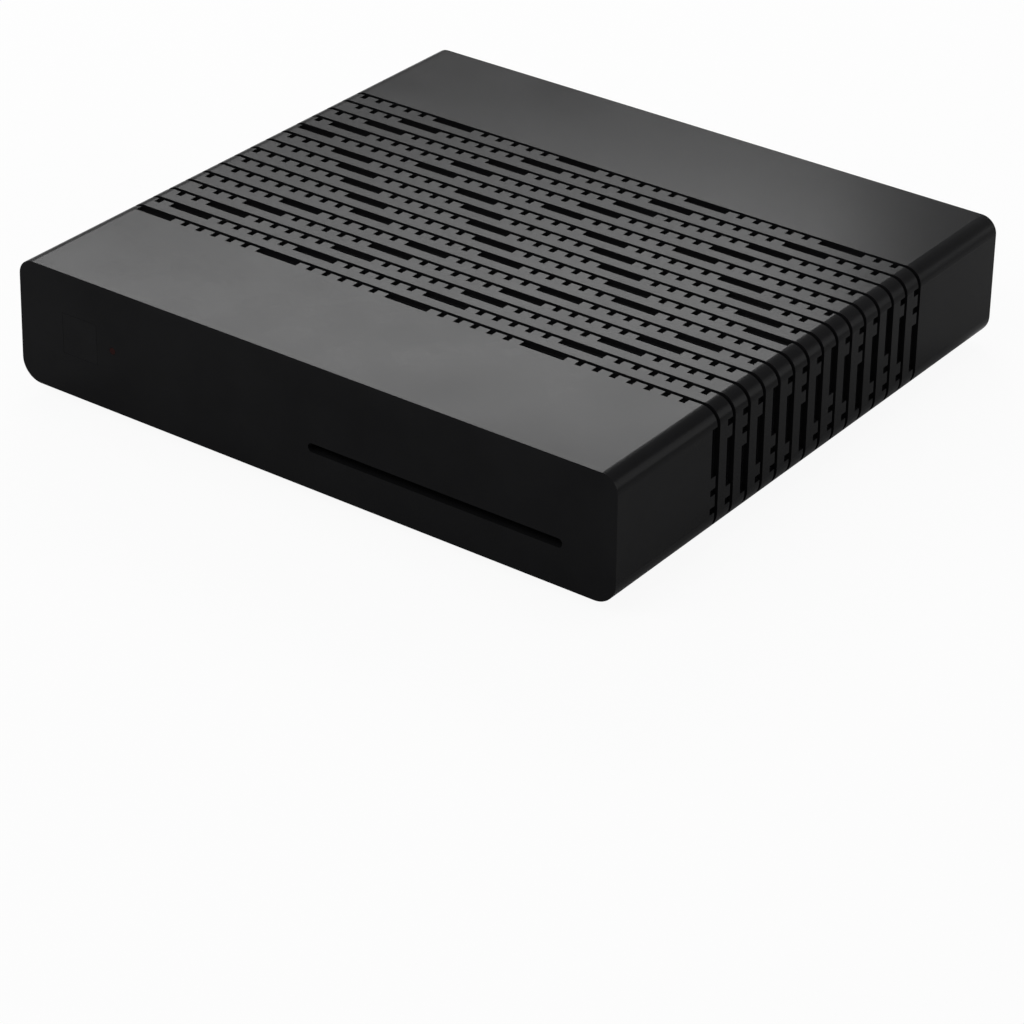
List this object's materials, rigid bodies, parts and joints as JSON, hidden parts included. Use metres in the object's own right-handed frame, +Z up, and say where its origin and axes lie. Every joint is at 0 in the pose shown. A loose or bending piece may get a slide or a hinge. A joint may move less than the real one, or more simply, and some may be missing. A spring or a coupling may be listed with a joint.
{
  "type": "satellite television receiver",
  "caption": "Small flat set-top receiver: moulded cover with a dash-and-tooth vent grille over its top and sides, sheet tray with rear sockets and a power rocker.",
  "frame": {"origin": "middle of the bounding box's footprint, on the plane that the feet stand on", "axes": "+X to the right seen from the front, +Y towards the sockets at the rear, +Z up"},
  "size_m": [0.1558, 0.1592, 0.0313],
  "materials": {
    "cover_black": "satin moulded ABS, black",
    "window_black": "polished dark infrared window",
    "clear_pipe": "polished acrylic rod, reddish",
    "panel_steel": "satin silver lacquer on zinc-coated sheet, dark printing",
    "tray_steel": "satin zinc-coated sheet",
    "foot_rubber": "matt black rubber",
    "screw_steel": "zinc-plated steel",
    "nickel": "bright nickel plate",
    "washer_zinc": "bluish zinc plate",
    "insulator_plastic": "brownish grey plastic",
    "contact_gold": "gold-plated spring contacts",
    "socket_black": "black moulded socket plastic",
    "shield_tin": "tin-plated sheet",
    "shell_dark": "dark-passivated sheet",
    "lamp_plastic": "tinted light guides",
    "switch_black": "semi-gloss black nylon",
    "board_green": "solder mask on glass epoxy",
    "chip_black": "moulded epoxy",
    "sink_aluminium": "extruded, natural",
    "ferrite_grey": "sintered ferrite and cement",
    "capacitor_sleeve": "shrink sleeve on aluminium cans",
    "crystal_can": "drawn steel can"
  },
  "bodies": {
    "receiver": {"top_cover": "cover_black", "infrared_window": "window_black", "light_pipe": "clear_pipe", "rear_panel": "panel_steel", "chassis_tray": "tray_steel", "rubber_feet": "foot_rubber", "case_screws": "screw_steel", "antenna_barrel": "nickel", "antenna_insulator": "insulator_plastic", "antenna_contact": "contact_gold", "antenna_nut": "nickel", "antenna_washer": "washer_zinc", "av_jack": "socket_black", "hdmi_shell": "nickel", "hdmi_insert": "socket_black", "lan_shield": "shield_tin", "lan_insert": "socket_black", "lan_contacts": "contact_gold", "lan_lamps": "lamp_plastic", "usb_shell": "shell_dark", "usb_bridge": "shield_tin", "usb_tongues": "socket_black", "phone_jack": "socket_black", "phone_contacts": "contact_gold", "dc_jack": "socket_black", "dc_pin": "nickel", "dc_spring": "nickel", "switch_housing": "switch_black", "switch_tabs": "nickel", "main_board": "board_green", "board_screws": "screw_steel", "tuner_frame": "shield_tin", "tuner_lid": "shield_tin", "processor": "chip_black", "heat_sink": "sink_aluminium", "memory_chips": "chip_black", "flash_chip": "chip_black", "regulators": "chip_black", "network_transformer": "chip_black", "power_coils": "ferrite_grey", "capacitors": "capacitor_sleeve", "crystal": "crystal_can", "card_reader": "socket_black", "card_contacts": "contact_gold", "infrared_receiver": "chip_black", "standby_lamp": "clear_pipe"},
    "rocker": {"switch_rocker": "switch_black"}
  },
  "joints": [
    {"name": "rocker_tilt", "type": "hinge", "parent": "receiver", "child": "rocker", "pos_m": [-0.06029, 0.0661, 0.02015], "axis": [1, 0, 0], "range_deg": [0, 24]}
  ]
}
